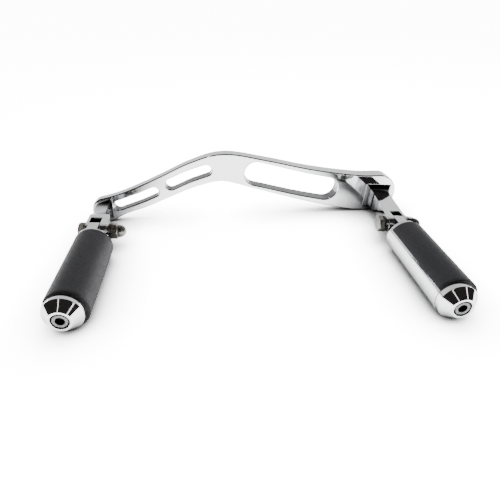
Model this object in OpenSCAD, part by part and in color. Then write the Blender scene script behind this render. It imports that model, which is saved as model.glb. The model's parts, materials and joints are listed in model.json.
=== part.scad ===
// A pair of folding footpegs carried by one slotted, chromed arm.
// X runs along the arm, the pegs point to -Y, +Z is up and the part stands on z = 0.

/* [Arm] */
// Distance between the two peg axes
peg_pitch = 363; // [340:1:390]
// Distance from the left peg's outer face back to the arm's front face
arm_front = 221; // [215:1:235]
// Thickness of the arm at its left end
arm_thick_left = 12; // [10:0.5:18]
// Thickness of the arm at its right end
arm_thick_right = 21; // [16:0.5:26]
// Half height of the two narrow slots
slot_half_a = 6.5; // [5:0.1:7]
slot_half_b = 7.5; // [5:0.1:8.5]
// Half height of the long slot
slot_half_c = 16; // [12:0.1:16.5]

/* [Forks] */
// Thickness of a fork's ear on the side of the arm's end and on the side of its middle
ear_outer = 3.2; // [3:0.1:5]
ear_inner = 7.4; // [5:0.1:8]
// Gap between the two ears
fork_gap = 13.3; // [12.5:0.1:14]
// Height of each fork
fork_h = 20; // [18:0.5:20]
// Depth of the gap past the pivot
fork_floor = 15; // [14:0.1:17]
// Tilt of the forks about the peg axis, bolt head side raised
fork_tilt = 4; // [0:1:10]

/* [Pegs] */
// Height of the peg axes above the ground
peg_z = 20; // [20:0.5:24]
// Distance from a peg's outer face back to its pivot, and the pivot's height above the peg axis
pivot_back = 156.7; // [155:0.1:160]
pivot_rise = 3; // [0:0.5:4]
// How much further forward the right peg stands
right_advance = 18; // [0:1:24]
// Outer radius of the chromed shell
shell_r = 20; // [18:0.1:20]
// Where the shell starts and where the pad ends, behind the outer face
shell_start = 15.4; // [14:0.1:17]
pad_end = 129.1; // [120:0.1:132]
// Radius of the rubber pad's outside
pad_r = 21.4; // [20.5:0.1:22]
// How far the pad's round is set over towards +X
pad_shift = 1.1; // [0:0.1:1.5]
// First and last edge of the pad, clockwise from the top
pad_from = -57; // [-70:1:-40]
pad_to = 147; // [120:1:155]

/* [End caps] */
// Radius of the cap's rim
cap_r = 19; // [17:0.1:20]
// Radius of the cap's small face
cap_face_r = 11.07; // [10:0.01:13]
// Length of the cap's cone
cap_cone = 9.12; // [6:0.01:12]
// Radius and depth of the recess for the screw
recess_r = 8.47; // [8.2:0.01:9.5]
recess_depth = 9; // [7:0.5:12]

/* [Fasteners] */
// Nominal diameter of the pivot bolt and of the long peg screw
bolt_d = 10; // [10:1:10]
// Width across flats of the pivot bolt's head and of the nut
hex_af = 17; // [16:0.5:17]
// Running clearance round the pivot bolt, on the radius
running = 0.05; // [0.02:0.01:0.1]

/* [Hidden] */
$fn = 64;

chrome = [0.80, 0.81, 0.83];
rubber = [0.13, 0.13, 0.14];
zinc = [0.52, 0.53, 0.53];
bore_r = bolt_d / 2 + running;
shank_r = bolt_d / 2;
fit_gap = 0.05;
edge = 0.4;

// The fork in its own frame; a low boss stands on the ear nearer the arm's middle
fork_w = ear_outer + fork_gap + ear_inner;
fork_from = -12.7;
fork_to = fork_from + fork_w;
boss_t = 2.5;
boss_r = 9.2;
function seat_head(side) = fork_from - (side == 0 ? 0 : boss_t);
function seat_nut(side) = fork_to + (side == 0 ? boss_t : 0);
function gap_from(side) = fork_from + (side == 0 ? ear_outer : ear_inner);
function face_at(side) = arm_front - pivot_back + side * right_advance;

// Stations of the neck behind the pivot: y, low and high side in x, bottom and top.
// The left neck has a waist and a dip, the right one runs straight but splays outwards.
left_neck = [[0, fork_from, fork_to, -10, 10], [10, fork_from, fork_to, -10, 10],
             [20, fork_from, fork_to, -10, 10], [24, -12.5, 9.9, -9.6, 9.6],
             [28, -12.3, 6.2, -9, 8.2], [34, -12.1, 3, -8.5, 6.2], [42, -12.2, 1.8, -8.5, 5.4],
             [50, -12.9, 1.8, -9, 6.4], [57, -14.4, 2.8, -11, 9.6], [62, -17, 4.8, -14, 13.6],
             [face_at(0) + 2, -20, 6.6, -18, 17]];
right_neck = [[0, fork_from, fork_to, -10, 10], [10, fork_from, fork_to, -10, 10],
              [20, -11.2, 12.1, -10, 10], [30, -10, 13.1, -10, 10], [45, -8.4, 14.5, -10, 10],
              [60, -6.7, 16, -10, 10], [68, -5.9, 16.9, -10.1, 10.1], [74, -6.2, 18.2, -11, 11],
              [78, -7.6, 19.9, -12.8, 12.8], [81, -9.9, 22, -15.5, 15.5],
              [face_at(1) + 2, -14, 26, -19.5, 19.5]];

// The arm's centre line seen from the front: x, z and the half height there
spine = [[-4, 17.5, 17.5], [19, 25.6, 14.8], [47, 35, 15.5], [82, 49.6, 15.6],
         [118, 64, 17], [156, 71.3, 18.7], [205.5, 59.5, 21.1], [268, 42.5, 23],
         [333, 29.2, 25.4], [peg_pitch + 6, 26.5, 26.3]];
last = len(spine) - 1;
// Where the slots' ends are centred along that line, in points of it
slot_a = [0.8, 2.45];
slot_b = [3.1, 4.4];
slot_c = [5.88, 7.4];
turns = 14;
root_inset = 1.6;
spare = 5;
arm_left = spine[0][0] - spine[0][2];
arm_right = spine[last][0] + spine[last][2];
arm_back = arm_front + arm_thick_right;
origin_x = (arm_left + arm_right) / 2;
origin_y = (arm_back - right_advance) / 2;

// A smooth curve through the centre line's points, u from 0 to last
function pick(i) = spine[max(0, min(last, i))];
function spline(a, b, c, d, t) =
    0.5 * (2 * b + (c - a) * t + (2 * a - 5 * b + 4 * c - d) * t * t
           + (3 * b - a - 3 * c + d) * t * t * t);
function slope(a, b, c, d, t) =
    0.5 * ((c - a) + 2 * (2 * a - 5 * b + 4 * c - d) * t
           + 3 * (3 * b - a - 3 * c + d) * t * t);
function cell(u) = min(last - 1, floor(u));
function at(u) = let (i = cell(u)) spline(pick(i - 1), pick(i), pick(i + 1), pick(i + 2), u - i);
function dir(u) = let (i = cell(u), s = slope(pick(i - 1), pick(i), pick(i + 1), pick(i + 2), u - i))
    atan2(s[1], s[0]);
function off(p, angle, r) = [p[0] + r * cos(angle), p[1] + r * sin(angle)];

// Rows of numbers with smooth steps between them
function row(rows, i) = rows[max(0, min(len(rows) - 1, i))];
function smooth(rows, steps) = concat([for (i = [0 : len(rows) - 2], k = [0 : steps - 1])
    spline(row(rows, i - 1), row(rows, i), row(rows, i + 1), row(rows, i + 2), k / steps)],
    [row(rows, len(rows) - 1)]);

// Closed outline along the centre line, clockwise seen from the front
function band(u0, u1, steps, n, half, inset) = concat(
    [for (k = [0 : steps]) let (u = u0 + (u1 - u0) * k / steps)
        off(at(u), dir(u) + 90, (half == 0 ? at(u)[2] : half) - inset)],
    [for (k = [1 : n - 1]) off(at(u1), dir(u1) + 90 - 180 * k / n,
        (half == 0 ? at(u1)[2] : half) - inset)],
    [for (k = [0 : steps]) let (u = u1 + (u0 - u1) * k / steps)
        off(at(u), dir(u) - 90, (half == 0 ? at(u)[2] : half) - inset)],
    [for (k = [1 : n - 1]) off(at(u0), dir(u0) - 90 - 180 * k / n,
        (half == 0 ? at(u0)[2] : half) - inset)]);

// Thickness of the arm at a place along X
function thick(x) = arm_thick_left
    + (arm_thick_right - arm_thick_left) * (x - arm_left) / (arm_right - arm_left);

// The arm seen from the front, with its slots, drawn in X and Z
module arm_face() {
    difference() {
        polygon(band(0, last, 6 * last, turns, 0, 0));
        polygon(band(slot_a[0], slot_a[1], 12, turns, slot_half_a, 0));
        polygon(band(slot_b[0], slot_b[1], 10, turns, slot_half_b, 0));
        polygon(band(slot_c[0], slot_c[1], 12, turns, slot_half_c, 0));
    }
}

// The face carried back to a rear side that thickens towards the right end
module arm_plate() {
    difference() {
        translate([0, arm_back, 0])
            rotate([90, 0, 0])
                linear_extrude(arm_thick_right)
                    arm_face();
        translate([0, 0, -spare])
            linear_extrude(2 * (peg_z + slot_half_c + fork_h))
                polygon([[arm_left - spare, arm_front + thick(arm_left - spare)],
                         [arm_right + spare, arm_front + thick(arm_right + spare)],
                         [arm_right + spare, arm_back + spare],
                         [arm_left - spare, arm_back + spare]]);
    }
}

// Places children at a pivot, with X along the pivot bolt
module at_pivot(side) {
    translate([side * peg_pitch, pivot_back - side * right_advance, peg_z + pivot_rise])
        rotate([0, fork_tilt, 0])
            children();
}

// Places children at the middle of a peg's outer face, with Z pointing back along the peg
module at_peg(side) {
    translate([side * peg_pitch, -side * right_advance, peg_z])
        rotate([-90, 0, 0])
            children();
}

// The neck from the pivot to the arm's face: what its plan and its side view have in common
module neck(side) {
    rows = smooth(side == 0 ? left_neck : right_neck, 3);
    n = len(rows) - 1;
    at_pivot(side)
        intersection() {
            translate([0, 0, -2 * fork_h])
                linear_extrude(4 * fork_h)
                    polygon(concat([for (r = rows) [r[1], r[0]]],
                                   [for (i = [n : -1 : 0]) [rows[i][2], rows[i][0]]]));
            translate([-2 * fork_w, 0, 0])
                rotate([90, 0, 90])
                    linear_extrude(4 * fork_w)
                        polygon(concat([for (r = rows) [r[0], r[3]]],
                                       [for (i = [n : -1 : 0]) [rows[i][0], rows[i][4]]]));
        }
}

module fork(side) {
    head_end = arm_front - side * right_advance - fork_h;
    intersection() {
        neck(side);
        union() {
            translate([-peg_pitch, 0, -spare])
                cube([3 * peg_pitch, head_end, 4 * fork_h]);
            translate([0, arm_back, 0])
                rotate([90, 0, 0])
                    linear_extrude(arm_back - head_end + 1)
                        polygon(band(0, last, 6 * last, turns, 0, root_inset));
        }
    }
    at_pivot(side)
        rotate([0, 90, 0]) {
            translate([0, 0, fork_from])
                cylinder(r = fork_h / 2, h = fork_w);
            translate([0, 0, seat_head(side)])
                cylinder(r = boss_r, h = seat_nut(side) - seat_head(side));
        }
}

module fork_cut(side) {
    at_pivot(side) {
        translate([gap_from(side), -fork_h, -fork_h])
            cube([fork_gap, fork_h + fork_floor, 2 * fork_h]);
        rotate([0, 90, 0])
            cylinder(r = bore_r, h = 2 * fork_w, center = true);
    }
}

module arm() {
    color(chrome)
        difference() {
            union() {
                arm_plate();
                fork(0);
                fork(1);
            }
            fork_cut(0);
            fork_cut(1);
        }
}

// The wedge of a full turn that the rubber pad takes, seen along the peg from outside
module pad_wedge(reach) {
    polygon(concat([[0, 0]], [for (k = [0 : 4]) let (a = pad_from + (pad_to - pad_from) * k / 4)
        [reach * sin(a), -reach * cos(a)]]));
}

pad_floor = 17.4;
pad_edge = 0.8;
flange_t = 4.8;
shell_end = pad_end + flange_t;
spigot_r = 9;
spigot_len = 20;
screw_gap = 0.2;

module peg_shell(side) {
    color(chrome)
        at_peg(side)
            difference() {
                rotate_extrude($fn = 96)
                    polygon([[shank_r + screw_gap, shell_start], [shell_r - edge, shell_start],
                             [shell_r, shell_start + edge], [shell_r, shell_end - 2 * edge],
                             [shell_r - 2 * edge, shell_end],
                             [spigot_r + fit_gap, shell_end],
                             [spigot_r + fit_gap, shell_end - spigot_len],
                             [shank_r + screw_gap, shell_end - spigot_len]]);
                translate([0, 0, shell_start - 1])
                    linear_extrude(pad_end - shell_start + 1)
                        difference() {
                            pad_wedge(2 * shell_r);
                            circle(r = pad_floor, $fn = 96);
                        }
            }
}

module rubber_pad(side) {
    color(rubber)
        at_peg(side)
            difference() {
                intersection() {
                    translate([pad_shift, 0, 0])
                        rotate_extrude($fn = 96)
                            polygon([[0, shell_start], [pad_r - pad_edge, shell_start],
                                     [pad_r, shell_start + pad_edge],
                                     [pad_r, pad_end - pad_edge], [pad_r - pad_edge, pad_end],
                                     [0, pad_end]]);
                    translate([0, 0, shell_start - 1])
                        linear_extrude(pad_end - shell_start + 2)
                            pad_wedge(2 * shell_r);
                }
                translate([0, 0, shell_start - 1])
                    cylinder(r = pad_floor, h = pad_end - shell_start + 2, $fn = 96);
            }
}

module end_cap(side) {
    color(chrome)
        at_peg(side)
            rotate_extrude($fn = 96)
                polygon([[shank_r + screw_gap, recess_depth], [recess_r, recess_depth],
                         [recess_r, edge], [recess_r + edge, 0], [cap_face_r - edge, 0],
                         [cap_face_r, edge / 2], [cap_r - edge / 2, cap_cone - edge / 2],
                         [cap_r, cap_cone + edge / 2], [cap_r, shell_start],
                         [shank_r + screw_gap, shell_start]]);
}

screw_head_t = 6.5;
lock_t = 2;
lock_r = 7.8;
lock_slit = 1;
lock_lean = 35;
screw_head_r = 8;
screw_edge = 1.1;
screw_hex = 8;
hex_depth = 4.2;
screw_end = shell_end - 2;
head_top = recess_depth - lock_t - screw_head_t;

module long_screw(side) {
    color(zinc)
        at_peg(side)
            difference() {
                rotate_extrude($fn = 64)
                    polygon([[0, head_top], [screw_head_r - screw_edge, head_top],
                             [screw_head_r, head_top + screw_edge],
                             [screw_head_r, head_top + screw_head_t],
                             [shank_r, head_top + screw_head_t], [shank_r, screw_end - 1],
                             [shank_r - 1, screw_end], [0, screw_end]]);
                translate([0, 0, head_top - 1])
                    cylinder(d = screw_hex / cos(30), h = hex_depth + 1, $fn = 6);
            }
}

module spring_lock_washer(side) {
    color(zinc)
        at_peg(side)
            translate([0, 0, recess_depth - lock_t])
                difference() {
                    cylinder(r = lock_r, h = lock_t);
                    translate([0, 0, -1])
                        cylinder(r = shank_r + fit_gap, h = lock_t + 2);
                    translate([lock_r, 0, lock_t / 2])
                        rotate([lock_lean, 0, 0])
                            cube([lock_r, lock_slit, 3 * lock_t], center = true);
                }
}

tongue_w = 12.1;
tongue_side = 0.22;
heel_back = fork_floor - 0.3;
heel_top = -3;
collar_r = 15;
collar_t = 2.5;
// The wave washer takes up what the tongue leaves of the gap on the nut's side
wave_room = fork_gap - tongue_w - tongue_side;

module peg_tongue(side) {
    reach = pivot_back - shell_end - fit_gap;
    color(chrome)
        difference() {
            union() {
                at_pivot(side)
                    translate([gap_from(side) + tongue_side, 0, 0]) {
                        rotate([0, 90, 0])
                            cylinder(r = fork_h / 2, h = tongue_w);
                        translate([0, -reach, -fork_h / 2])
                            cube([tongue_w, reach, fork_h]);
                        translate([0, 0, -fork_h / 2])
                            cube([tongue_w, heel_back, fork_h / 2 + heel_top]);
                    }
                at_peg(side) {
                    translate([0, 0, shell_end])
                        cylinder(r = collar_r, h = collar_t);
                    translate([0, 0, shell_end - spigot_len + fit_gap])
                        cylinder(r = spigot_r, h = spigot_len);
                }
            }
            at_pivot(side)
                rotate([0, 90, 0])
                    cylinder(r = bore_r, h = 2 * fork_w, center = true);
            at_peg(side)
                translate([0, 0, shell_end - spigot_len - 1])
                    cylinder(r = shank_r + fit_gap, h = spigot_len + 1);
        }
}

washer_t = 2;
washer_r = 10;
head_t = 6.4;
hex_bevel = 1.4;
hex_reach = 0.6 * hex_af;
nut_hex_t = 8.4;
nut_dome_t = 9.4;
nut_bore = 13;
dome_r = hex_af / 2 - 0.9;
head_turn = 35;
nut_turn = 15;

module pivot_bolt(side) {
    bolt_end = seat_nut(side) + washer_t + nut_bore - 1;
    color(zinc)
        at_pivot(side)
            rotate([0, 90, 0]) {
                translate([0, 0, seat_head(side) - washer_t - head_t])
                    intersection() {
                        rotate(head_turn)
                            cylinder(d = hex_af / cos(30), h = head_t, $fn = 6);
                        rotate_extrude()
                            polygon([[0, 0], [hex_af / 2 - edge, 0], [hex_reach, hex_bevel],
                                     [hex_reach, head_t], [0, head_t]]);
                    }
                translate([0, 0, seat_head(side) - washer_t - 1])
                    cylinder(r = shank_r, h = bolt_end - seat_head(side) + washer_t + 1);
            }
}

module flat_washer(side, from) {
    color(zinc)
        at_pivot(side)
            translate([from, 0, 0])
                rotate([0, 90, 0])
                    difference() {
                        cylinder(r = washer_r, h = washer_t);
                        translate([0, 0, -1])
                            cylinder(r = shank_r + fit_gap, h = washer_t + 2);
                    }
}

wave_t = 0.5;
wave_rise = 0.2;
wave_in = 5.4;
wave_out = 8.6;
wave_steps = 48;

// A thin ring with three waves, between the tongue and the nut side's ear
module wave_washer(side) {
    mid = gap_from(side) + fork_gap - wave_room / 2;
    function wave(i) = wave_rise * cos(3 * 360 * i / wave_steps);
    function corner(i, r, x) = [x, r * cos(360 * i / wave_steps), r * sin(360 * i / wave_steps)];
    points = [for (i = [0 : wave_steps - 1]) each
        [corner(i, wave_in, wave(i) - wave_t / 2), corner(i, wave_out, wave(i) - wave_t / 2),
         corner(i, wave_out, wave(i) + wave_t / 2), corner(i, wave_in, wave(i) + wave_t / 2)]];
    color(zinc)
        at_pivot(side)
            translate([mid, 0, 0])
                polyhedron(points = points, faces = [for (i = [0 : wave_steps - 1], c = [0 : 3])
                    let (j = (i + 1) % wave_steps, d = (c + 1) % 4)
                    each [[4 * i + c, 4 * j + c, 4 * j + d], [4 * i + c, 4 * j + d, 4 * i + d]]]);
}

module acorn_nut(side) {
    color(zinc)
        at_pivot(side)
            translate([seat_nut(side) + washer_t, 0, 0])
                rotate([0, 90, 0])
                    difference() {
                        union() {
                            intersection() {
                                rotate(nut_turn)
                                    cylinder(d = hex_af / cos(30), h = nut_hex_t, $fn = 6);
                                rotate_extrude()
                                    polygon([[0, 0], [hex_af / 2 - edge, 0],
                                             [hex_reach, hex_bevel],
                                             [hex_reach, nut_hex_t - hex_bevel],
                                             [hex_af / 2 - edge, nut_hex_t], [0, nut_hex_t]]);
                            }
                            rotate_extrude()
                                polygon(concat([[0, nut_hex_t - 1], [dome_r, nut_hex_t - 1]],
                                    [for (a = [0 : 9 : 81]) [dome_r * cos(a),
                                        nut_hex_t + 1 + (nut_dome_t - 1) * sin(a)]],
                                    [[0, nut_hex_t + nut_dome_t]]));
                        }
                        translate([0, 0, -1])
                            cylinder(r = shank_r + fit_gap, h = nut_bore + 1);
                    }
}

module placed() {
    translate([-origin_x, -origin_y, 0])
        children();
}

placed() arm();
placed() peg_shell(0);  // left_peg_shell
placed() rubber_pad(0);  // left_rubber_pad
placed() end_cap(0);  // left_end_cap
placed() long_screw(0);  // left_long_screw
placed() spring_lock_washer(0);  // left_spring_lock_washer
placed() peg_tongue(0);  // left_peg_tongue
placed() pivot_bolt(0);  // left_pivot_bolt
placed() flat_washer(0, seat_head(0) - washer_t);  // left_head_washer
placed() wave_washer(0);  // left_wave_washer
placed() flat_washer(0, seat_nut(0));  // left_nut_washer
placed() acorn_nut(0);  // left_acorn_nut
placed() peg_shell(1);  // right_peg_shell
placed() rubber_pad(1);  // right_rubber_pad
placed() end_cap(1);  // right_end_cap
placed() long_screw(1);  // right_long_screw
placed() spring_lock_washer(1);  // right_spring_lock_washer
placed() peg_tongue(1);  // right_peg_tongue
placed() pivot_bolt(1);  // right_pivot_bolt
placed() flat_washer(1, seat_head(1) - washer_t);  // right_head_washer
placed() wave_washer(1);  // right_wave_washer
placed() flat_washer(1, seat_nut(1));  // right_nut_washer
placed() acorn_nut(1);  // right_acorn_nut
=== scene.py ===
import json
import math

import bmesh
import bpy
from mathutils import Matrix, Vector


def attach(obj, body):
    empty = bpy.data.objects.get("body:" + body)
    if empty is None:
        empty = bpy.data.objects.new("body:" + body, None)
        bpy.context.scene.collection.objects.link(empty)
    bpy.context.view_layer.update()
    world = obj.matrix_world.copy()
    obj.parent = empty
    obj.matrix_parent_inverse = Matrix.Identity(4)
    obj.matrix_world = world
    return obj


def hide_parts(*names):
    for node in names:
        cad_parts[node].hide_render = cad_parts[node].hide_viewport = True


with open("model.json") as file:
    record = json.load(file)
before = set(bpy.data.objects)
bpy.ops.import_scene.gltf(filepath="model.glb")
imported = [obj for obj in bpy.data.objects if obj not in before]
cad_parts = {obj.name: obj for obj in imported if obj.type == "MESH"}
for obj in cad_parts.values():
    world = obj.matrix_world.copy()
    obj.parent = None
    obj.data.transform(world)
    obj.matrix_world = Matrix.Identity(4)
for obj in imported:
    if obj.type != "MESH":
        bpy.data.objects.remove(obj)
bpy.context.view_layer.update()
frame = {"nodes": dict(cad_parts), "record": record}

# The camera, worked out from the photograph's round caps and pads
CAMERA_PLACE = (-0.04571, -0.39216, 0.26536)
CAMERA_YAW = -0.097
CAMERA_PITCH = 0.570
SENSOR_MM = 36.0
FOCAL_PX = 403.9
IMAGE_PX = 500.0

# The plate of the arm lies behind this, the forks in front of it
PLATE_FRONT = 0.1089
# The forks take painted shade as they near the plate, between these depths in front of it
ROOT_SHADE_DEPTHS = (0.018, 0.004)
# Nearer the peg than this, the fork's sides take no painted shade
FORK_UNSHADED = 0.062
FORK_BLEND = 0.008
# Where the left pad ends, how much further out the right one stands, and how deep the painted shade on its
# rim goes
PAD_OUTER_END = -0.0966
RIGHT_ADVANCE = 0.018
RIM_DEPTHS = (0.0030, 0.0042)
RIM_SHADE_LEVEL = 0.9
# The pegs' axes, and the radii of a screw head's rim and socket with the width of their blur, for the
# painted shade there
AXES_X = (-0.1869, 0.1761)
AXIS_Z = 0.020
HEAD_RIM = 0.0071
SOCKET = 0.0046
RIM_BLUR = 0.0002
SOCKET_BLUR = 0.0003

# The rounding of the plate's rims: how sharp an edge has to be, and its radius
ROUND_OVER_DEG = 28.0
ARM_EDGE = 0.0013
# Vertices closer than this are one, and faces that turn by less than this are one
MERGE_WITHIN = 2e-6
FLAT_DEG = 0.3

# The levels that most noise lies between, and the share that each finer octave adds
NOISE_SPAN = (0.3, 0.7)
NOISE_ROUGHNESS = 0.55
# Cycles a metre of the haze, the changes in roughness and the long waves in the plating
HAZE_CYCLES = 60.0
POLISH_CYCLES = 180.0
WAVE_CYCLES = 35.0

# How open a point is, from 0 to 1: full painted shade at the first number, none at the second
CHROME_CORNERS = (0.35, 0.95)
STEEL_CORNERS = (0.35, 0.90)
ARM_CORNERS = (0.15, 0.62)
SLOT_WALLS = (0.91, 0.99)
# The most that the painted shade darkens
CORNER_SHADE_MOST = 0.92
SLOT_SHADE_MOST = 0.86
ARM_SHADE_MOST = 0.96
# A slot's wall faces along Y by less than this, and a fork's side is steep along X over this span
WALL_FACING = 0.5
STEEP_SPAN = (0.45, 0.75)
# Painted reflection patches on the forks' shaded sides: the cycles a metre, the span of noise, and what
# they leave of the painted shade
PATCH_CYCLES = 45.0
PATCH_SPAN = (0.42, 0.78)
PATCH_LEFT = (1.0, 0.45)

# The tones of painted shade on chrome and steel, the rubber's own tones, and the painted shade on the
# rubber's rim
CHROME_SHADE_TONE = (0.030, 0.031, 0.033)
STEEL_SHADE_TONE = (0.008, 0.008, 0.008)
RUBBER_TONES = ((0.0144, 0.0141, 0.0168), (0.0264, 0.0258, 0.0297))
RUBBER_RIM_SHADE = (0.0024, 0.0024, 0.0024)

# How much light the floor gives back to the part, to the camera, where it reads as white, and to mirrors
FLOOR_SIZE = 60.0
FLOOR_TONE = 0.80
FLOOR_SEEN = 15.6
FLOOR_MIRRORED = 4.05
# Painted contact shadow: the floor darkens within this reach of the part
CONTACT_REACH = 0.05
CONTACT_POWER = 2.2

# The world's strength for the camera and for matt surfaces
BACKDROP = 13.5
ROOM_LIGHT = 0.87
# What mirror surfaces see: a pale room behind the part, low to high, and a dark one behind the camera
ROOM_BACK = (1.30, 0.60)
ROOM_CLIMB = (0.05, 0.95)
ROOM_FRONT = 0.020
ROOM_TURN = (0.05, 0.55)
# Its two upright strip lamps stand in front of the part, and it is bright up to just over the horizon
STRIP_AT = (-0.275, 0.70)
STRIP_HALF = 0.030
STRIP_GLOW = 2.6
STRIPS_BEFORE = -0.15
HORIZON = 0.02
HORIZON_GLOW = 2.6
# The dark side of the room is a little warm
FRONT_TINGE = (1.0, 0.90, 0.885)
TINGE_TURN = (0.0, 0.3)
WHITE = (1.0, 1.0, 1.0)

LAMP_PLACE = (0.25, 0.35, 1.3)
LAMP_TARGET = (0, 0, 0)
LAMP_SIZE = 1.2
LAMP_POWER = 6.0


def node_material(name):
    """A new material with its node tree, its Principled shader and its object coordinates."""
    material = bpy.data.materials.new(name)
    material.use_nodes = True
    tree = material.node_tree
    shader = next(n for n in tree.nodes if n.type == "BSDF_PRINCIPLED")
    coords = tree.nodes.new("ShaderNodeTexCoord").outputs["Object"]
    return material, tree, shader, coords


def feed(tree, socket, given):
    """Gives a socket a number, or links another socket to it."""
    if isinstance(given, (int, float)):
        socket.default_value = given
    else:
        tree.links.new(given, socket)


def split(tree, vector):
    """The X, Y and Z sockets of a vector."""
    node = tree.nodes.new("ShaderNodeSeparateXYZ")
    tree.links.new(vector, node.inputs["Vector"])
    return node.outputs


def math_node(tree, operation, first, *others):
    """Math nodes that take first with each of the others in turn; all are sockets or numbers."""
    for other in others or (0.0,):
        node = tree.nodes.new("ShaderNodeMath")
        node.operation = operation
        feed(tree, node.inputs[0], first)
        feed(tree, node.inputs[1], other)
        first = node.outputs["Value"]
    return first


def map_range(tree, value, span, result, shape="SMOOTHSTEP"):
    """A number that goes through result as value goes through span."""
    node = tree.nodes.new("ShaderNodeMapRange")
    node.interpolation_type = shape
    node.inputs["From Min"].default_value = span[0]
    node.inputs["From Max"].default_value = span[1]
    feed(tree, node.inputs["To Min"], result[0])
    feed(tree, node.inputs["To Max"], result[1])
    tree.links.new(value, node.inputs["Value"])
    return node.outputs["Result"]


def switch(tree, flag, off, on):
    """The number off where flag is 0, and on where it is 1."""
    return map_range(tree, flag, (0.0, 1.0), (off, on), "LINEAR")


def blend(tree, factor, a, b):
    """The colour a where factor is 0, and b where it is 1; each is a socket or three numbers."""
    mix = tree.nodes.new("ShaderNodeMix")
    mix.data_type = "RGBA"
    tree.links.new(factor, mix.inputs["Factor"])
    for name, colour in (("A", a), ("B", b)):
        if isinstance(colour, tuple):
            mix.inputs[name].default_value = (*colour, 1.0)
        else:
            tree.links.new(colour, mix.inputs[name])
    return next(o for o in mix.outputs if o.type == "RGBA")


def noise(tree, coords, cycles, detail=4.0):
    """Noise in object space, at a number of cycles a metre."""
    texture = tree.nodes.new("ShaderNodeTexNoise")
    texture.inputs["Scale"].default_value = cycles
    texture.inputs["Detail"].default_value = detail
    texture.inputs["Roughness"].default_value = NOISE_ROUGHNESS
    tree.links.new(coords, texture.inputs["Vector"])
    return texture.outputs["Fac"]


def ramp(tree, factor, tones):
    """A colour that goes through two tones as noise goes through its usual span."""
    node = tree.nodes.new("ShaderNodeValToRGB")
    for element, level, tone in zip(node.color_ramp.elements, NOISE_SPAN, tones):
        element.position = level
        element.color = (*tone, 1.0)
    tree.links.new(factor, node.inputs["Fac"])
    return node.outputs["Color"]


def tint(tree, shader, base, factor, tone):
    """Gives the shader its base colour, turned towards tone where factor is 1."""
    tree.links.new(blend(tree, factor, base, tone), shader.inputs["Base Color"])


def roughen(tree, shader, coords, cycles, rough):
    """Gives the shader a roughness that wanders between two levels."""
    level = map_range(tree, noise(tree, coords, cycles), NOISE_SPAN, rough, "LINEAR")
    tree.links.new(level, shader.inputs["Roughness"])


def bump(tree, shader, height, distance, strength=1.0, edge=0.0):
    """Bump of a stated depth in metres, on normals that turn over each edge within a radius."""
    node = tree.nodes.new("ShaderNodeBump")
    if edge > 0.0:
        turned = tree.nodes.new("ShaderNodeBevel")
        turned.samples = 8
        turned.inputs["Radius"].default_value = edge
        tree.links.new(turned.outputs["Normal"], node.inputs["Normal"])
    node.inputs["Strength"].default_value = strength
    node.inputs["Distance"].default_value = distance
    tree.links.new(height, node.inputs["Height"])
    tree.links.new(node.outputs["Normal"], shader.inputs["Normal"])


def openness(tree, reach, samples):
    """How open a point is to what lies within reach, from 0 to 1."""
    shade = tree.nodes.new("ShaderNodeAmbientOcclusion")
    shade.samples = samples
    shade.inputs["Distance"].default_value = reach
    return shade.outputs["AO"]


def painted_corner_shade(tree, reach, span):
    """How much painted shade a point takes, from 0 to 1: darker in corners and recesses, where shade
    falls.
    """
    return map_range(tree, openness(tree, reach, samples=12), span, (1.0, 0.0))


def arm_painted_shade(tree, coords, reach):
    """Painted shade on the arm: strong on slot walls, mild on its faces, dark steep sides on the forks
    with lighter painted reflection patches, and a dark root by the plate.
    """
    normal = tree.nodes.new("ShaderNodeNewGeometry").outputs["True Normal"]
    facing_x, facing_y, _ = split(tree, normal)
    depth = split(tree, coords)["Y"]
    plate = math_node(tree, "GREATER_THAN", depth, PLATE_FRONT)
    level = math_node(tree, "ABSOLUTE", facing_y)
    wall = math_node(tree, "LESS_THAN", level, WALL_FACING)
    in_slot = math_node(tree, "MULTIPLY", painted_corner_shade(tree, reach, SLOT_WALLS), wall, plate, SLOT_SHADE_MOST)
    in_corner = painted_corner_shade(tree, reach, ARM_CORNERS)
    # Painted shade on the forks' steep sides, broken by lighter painted reflection patches, and at their
    # roots by the plate
    steep = map_range(tree, math_node(tree, "ABSOLUTE", facing_x), STEEP_SPAN, (0.0, 1.0))
    fork = map_range(tree, depth, (FORK_UNSHADED, FORK_UNSHADED + FORK_BLEND), (0.0, 1.0))
    reflection_patches = map_range(tree, noise(tree, coords, PATCH_CYCLES, detail=1.0), PATCH_SPAN, PATCH_LEFT)
    side = math_node(tree, "MULTIPLY", steep, fork, reflection_patches)
    root_shade = map_range(tree, depth, [PLATE_FRONT - d for d in ROOT_SHADE_DEPTHS], (0.0, 1.0))
    before_plate = math_node(tree, "SUBTRACT", 1.0, plate)
    fork_shade = math_node(tree, "MULTIPLY", math_node(tree, "MAXIMUM", side, root_shade), before_plate)
    most = math_node(tree, "MAXIMUM", in_slot, in_corner, fork_shade)
    return math_node(tree, "MULTIPLY", most, ARM_SHADE_MOST)


def chrome(name, tones, rough, waves, edge, reach, haze=HAZE_CYCLES, casting=False):
    """Plated metal: almost a mirror, with faint polishing haze, long, shallow waves and painted shade in
    its corners and recesses.
    """
    material, tree, shader, coords = node_material(name)
    shader.inputs["Metallic"].default_value = 1.0
    if casting:
        painted_shade = arm_painted_shade(tree, coords, reach)
    else:
        painted_shade = math_node(tree, "MULTIPLY", painted_corner_shade(tree, reach, CHROME_CORNERS), CORNER_SHADE_MOST)
    # The base colour turns to the painted shade tone where shade falls
    tint(tree, shader, ramp(tree, noise(tree, coords, haze), tones), painted_shade, CHROME_SHADE_TONE)
    roughen(tree, shader, coords, POLISH_CYCLES, rough)
    bump(tree, shader, noise(tree, coords, WAVE_CYCLES, detail=1.0), waves, edge=edge)
    return material


def on_the_right(tree, x):
    """1 on the right peg, 0 on the left one."""
    return math_node(tree, "GREATER_THAN", x, 0.0)


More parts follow.
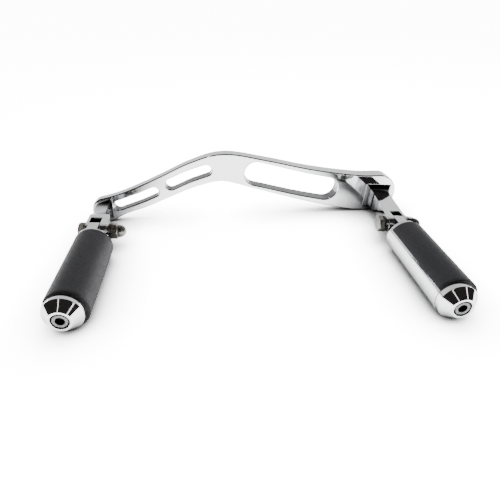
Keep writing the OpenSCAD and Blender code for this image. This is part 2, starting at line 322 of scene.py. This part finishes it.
def rubber(name):
    """Moulded rubber: dark charcoal, satin, with a fine pebbled skin and painted shade on its outer rim by
    the cap.
    """
    material, tree, shader, coords = node_material(name)
    x, y, _ = split(tree, coords)
    advance = math_node(tree, "MULTIPLY", on_the_right(tree, x), RIGHT_ADVANCE)
    # Painted shade: a dark band on the pad's outer rim, by the cap
    rim_shade = map_range(tree, math_node(tree, "ADD", y, advance),
                    [PAD_OUTER_END + d for d in RIM_DEPTHS], (RIM_SHADE_LEVEL, 0.0))
    tone = ramp(tree, noise(tree, coords, cycles=700.0, detail=6.0), RUBBER_TONES)
    tint(tree, shader, tone, rim_shade, RUBBER_RIM_SHADE)
    roughen(tree, shader, coords, cycles=420.0, rough=(0.50, 0.66))
    shader.inputs["Specular IOR Level"].default_value = 0.30
    shader.inputs["Sheen Weight"].default_value = 0.03
    shader.inputs["Sheen Roughness"].default_value = 0.4
    pebbles = noise(tree, coords, cycles=2600.0, detail=2.0)
    bump(tree, shader, pebbles, distance=0.00006, strength=0.8)
    return material


def off_axis(tree, coords):
    """How far a point lies from the axis of its own peg."""
    x, _, z = split(tree, coords)
    across = math_node(tree, "SUBTRACT", x, switch(tree, on_the_right(tree, x), *AXES_X))
    above = math_node(tree, "SUBTRACT", z, AXIS_Z)
    squares = math_node(tree, "ADD", math_node(tree, "MULTIPLY", across, across),
                        math_node(tree, "MULTIPLY", above, above))
    return math_node(tree, "SQRT", squares)


def plated_steel(name, tones, rough, grain, reach, socket=False):
    """Dull plated steel with a faint crystalline mottle, and painted shade in its corners, in a screw's
    socket and round its rim.
    """
    material, tree, shader, coords = node_material(name)
    shader.inputs["Metallic"].default_value = 1.0
    painted_shade = painted_corner_shade(tree, reach, STEEL_CORNERS)
    if socket:
        # Painted shade in the screw's socket and in the crease round its head's rim
        radius = off_axis(tree, coords)
        rim_shade = map_range(tree, radius, (HEAD_RIM - RIM_BLUR, HEAD_RIM + RIM_BLUR), (0.0, 1.0))
        socket_shade = map_range(tree, radius, (SOCKET - SOCKET_BLUR, SOCKET), (1.0, 0.0))
        painted_shade = math_node(tree, "MAXIMUM", painted_shade, rim_shade, socket_shade)
    mottle = noise(tree, coords, cycles=320.0, detail=6.0)
    tint(tree, shader, ramp(tree, mottle, tones), painted_shade, STEEL_SHADE_TONE)
    roughen(tree, shader, coords, cycles=700.0, rough=rough)
    bump(tree, shader, noise(tree, coords, cycles=1500.0, detail=3.0), grain)
    return material


# The depths, edges and reaches are in metres
MATERIALS = {
    "arm_chrome": chrome("arm_chrome", tones=((0.80, 0.81, 0.83), (0.86, 0.87, 0.88)),
                         rough=(0.03, 0.06), waves=0.00012, edge=0.0006, reach=0.040,
                         casting=True),
    "peg_chrome": chrome("peg_chrome", tones=((0.58, 0.59, 0.61), (0.86, 0.87, 0.88)),
                         rough=(0.05, 0.12), waves=0.00010, edge=0.0004, reach=0.006,
                         haze=420.0),
    "cap_chrome": chrome("cap_chrome", tones=((0.83, 0.84, 0.85), (0.88, 0.89, 0.90)),
                         rough=(0.02, 0.04), waves=0.00003, edge=0.0003, reach=0.006),
    "tongue_chrome": chrome("tongue_chrome", tones=((0.70, 0.71, 0.72), (0.80, 0.81, 0.82)),
                            rough=(0.08, 0.16), waves=0.00010, edge=0.0005, reach=0.008),
    "pad_rubber": rubber("pad_rubber"),
    "screw_steel": plated_steel("screw_steel", tones=((0.13, 0.13, 0.13), (0.19, 0.19, 0.19)),
                                rough=(0.22, 0.34), grain=0.00002, reach=0.004, socket=True),
    "pivot_zinc": plated_steel("pivot_zinc", tones=((0.11, 0.108, 0.096), (0.26, 0.26, 0.237)),
                               rough=(0.16, 0.30), grain=0.00003, reach=0.006),
}


def dress_cad_nodes():
    """Gives every CAD node the material of its slot in the record."""
    for part in frame["record"]["subparts"]:
        node = frame["nodes"][part["node"]]
        node.data.materials.clear()
        node.data.materials.append(MATERIALS[part["material_slot"]])


def rounded_arm():
    """The arm's casting with the rims of its plate rounded over, as polishing leaves them."""
    source = frame["nodes"]["arm"]
    mesh = bpy.data.meshes.new("arm_polished")
    work = bmesh.new()
    work.from_mesh(source.data)
    bmesh.ops.remove_doubles(work, verts=work.verts, dist=MERGE_WITHIN)
    bmesh.ops.dissolve_limit(work, angle_limit=math.radians(FLAT_DEG), verts=work.verts,
                             edges=work.edges)
    sharp = math.radians(ROUND_OVER_DEG)
    rims = [e for e in work.edges
            if e.is_convex and e.calc_face_angle(0.0) > sharp
            and min(v.co.y for v in e.verts) > PLATE_FRONT]
    bmesh.ops.bevel(work, geom=rims, offset=ARM_EDGE, segments=3, profile=0.32,
                    affect="EDGES", clamp_overlap=False)
    bmesh.ops.triangulate(work, faces=work.faces[:], quad_method="BEAUTY", ngon_method="EAR_CLIP")
    for face in work.faces:
        face.smooth = True
    for edge in work.edges:
        edge.smooth = edge.calc_face_angle(0.0) < sharp
    work.to_mesh(mesh)
    work.free()
    arm = bpy.data.objects.new("arm_polished", mesh)
    bpy.context.scene.collection.objects.link(arm)
    weighted = arm.modifiers.new("normals", "WEIGHTED_NORMAL")
    weighted.keep_sharp = True
    mesh.materials.append(MATERIALS["arm_chrome"])
    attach(arm, "arm_body")
    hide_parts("arm")


def studio_floor():
    """A pale floor that fills the view, with painted contact shadows near the part."""
    bpy.ops.mesh.primitive_plane_add(size=FLOOR_SIZE, location=(0, 0, 0))
    floor = bpy.context.object
    floor.name = "studio_floor"
    material, tree, shader, coords = node_material("floor_white")
    ray = tree.nodes.new("ShaderNodeLightPath").outputs
    to_others = switch(tree, ray["Is Glossy Ray"], FLOOR_TONE, FLOOR_MIRRORED)
    gain = switch(tree, ray["Is Camera Ray"], to_others, FLOOR_SEEN)
    tone = map_range(tree, noise(tree, coords, cycles=3.0), NOISE_SPAN, (0.99, 1.0), "LINEAR")
    contact_shadow = math_node(tree, "POWER", openness(tree, CONTACT_REACH, samples=16), CONTACT_POWER)
    level = math_node(tree, "MULTIPLY", gain, tone, contact_shadow)
    grey = tree.nodes.new("ShaderNodeCombineColor")
    for channel in ("Red", "Green", "Blue"):
        tree.links.new(level, grey.inputs[channel])
    matt = tree.nodes.new("ShaderNodeBsdfDiffuse")
    tree.links.new(grey.outputs["Color"], matt.inputs["Color"])
    tree.nodes.remove(shader)
    surface = next(n for n in tree.nodes if n.type == "OUTPUT_MATERIAL")
    tree.links.new(matt.outputs["BSDF"], surface.inputs["Surface"])
    floor.data.materials.append(material)


def studio_world():
    """Even white light, with a dark room and two thin lamps for mirror surfaces to show."""
    world = bpy.data.worlds.new("studio")
    bpy.context.scene.world = world
    world.use_nodes = True
    tree = world.node_tree
    background = next(n for n in tree.nodes if n.type == "BACKGROUND")
    ray = tree.nodes.new("ShaderNodeLightPath").outputs
    direction = tree.nodes.new("ShaderNodeTexCoord").outputs["Generated"]
    across, along, up = split(tree, direction)
    back = map_range(tree, up, ROOM_CLIMB, ROOM_BACK, "LINEAR")
    room = map_range(tree, along, ROOM_TURN, (ROOM_FRONT, back))
    in_front = math_node(tree, "LESS_THAN", along, STRIPS_BEFORE)
    for place in STRIP_AT:
        gap = math_node(tree, "ABSOLUTE", math_node(tree, "SUBTRACT", across, place))
        strip = math_node(tree, "LESS_THAN", gap, STRIP_HALF)
        glow = math_node(tree, "MULTIPLY", strip, in_front, STRIP_GLOW)
        room = math_node(tree, "ADD", room, glow)
    low = math_node(tree, "LESS_THAN", up, HORIZON)
    room = math_node(tree, "MAXIMUM", room, math_node(tree, "MULTIPLY", low, HORIZON_GLOW))
    to_others = switch(tree, ray["Is Glossy Ray"], ROOM_LIGHT, room)
    strength = switch(tree, ray["Is Camera Ray"], to_others, BACKDROP)
    tree.links.new(strength, background.inputs["Strength"])
    behind = map_range(tree, along, TINGE_TURN, (0.0, 1.0))
    tinge = blend(tree, behind, FRONT_TINGE, WHITE)
    tinge = blend(tree, ray["Is Glossy Ray"], WHITE, tinge)
    tree.links.new(tinge, background.inputs["Color"])


def overhead_lamp():
    """A square area lamp that only lights, so that it doesn't show in the chrome."""
    data = bpy.data.lights.new("overhead", "AREA")
    data.shape = "SQUARE"
    data.size = LAMP_SIZE
    data.energy = LAMP_POWER
    lamp = bpy.data.objects.new("overhead", data)
    lamp.location = LAMP_PLACE
    aim = Vector(LAMP_TARGET) - Vector(LAMP_PLACE)
    lamp.rotation_euler = aim.to_track_quat("-Z", "Y").to_euler()
    lamp.visible_glossy = False
    bpy.context.scene.collection.objects.link(lamp)


def photo_camera():
    """The photograph's camera."""
    data = bpy.data.cameras.new("photo_camera")
    data.sensor_width = SENSOR_MM
    data.lens = FOCAL_PX / IMAGE_PX * SENSOR_MM
    camera = bpy.data.objects.new("photo_camera", data)
    camera.location = CAMERA_PLACE
    camera.rotation_euler = (math.pi / 2 - CAMERA_PITCH, 0.0, CAMERA_YAW)
    bpy.context.scene.collection.objects.link(camera)
    bpy.context.scene.camera = camera


dress_cad_nodes()
rounded_arm()
studio_floor()
studio_world()
overhead_lamp()
photo_camera()
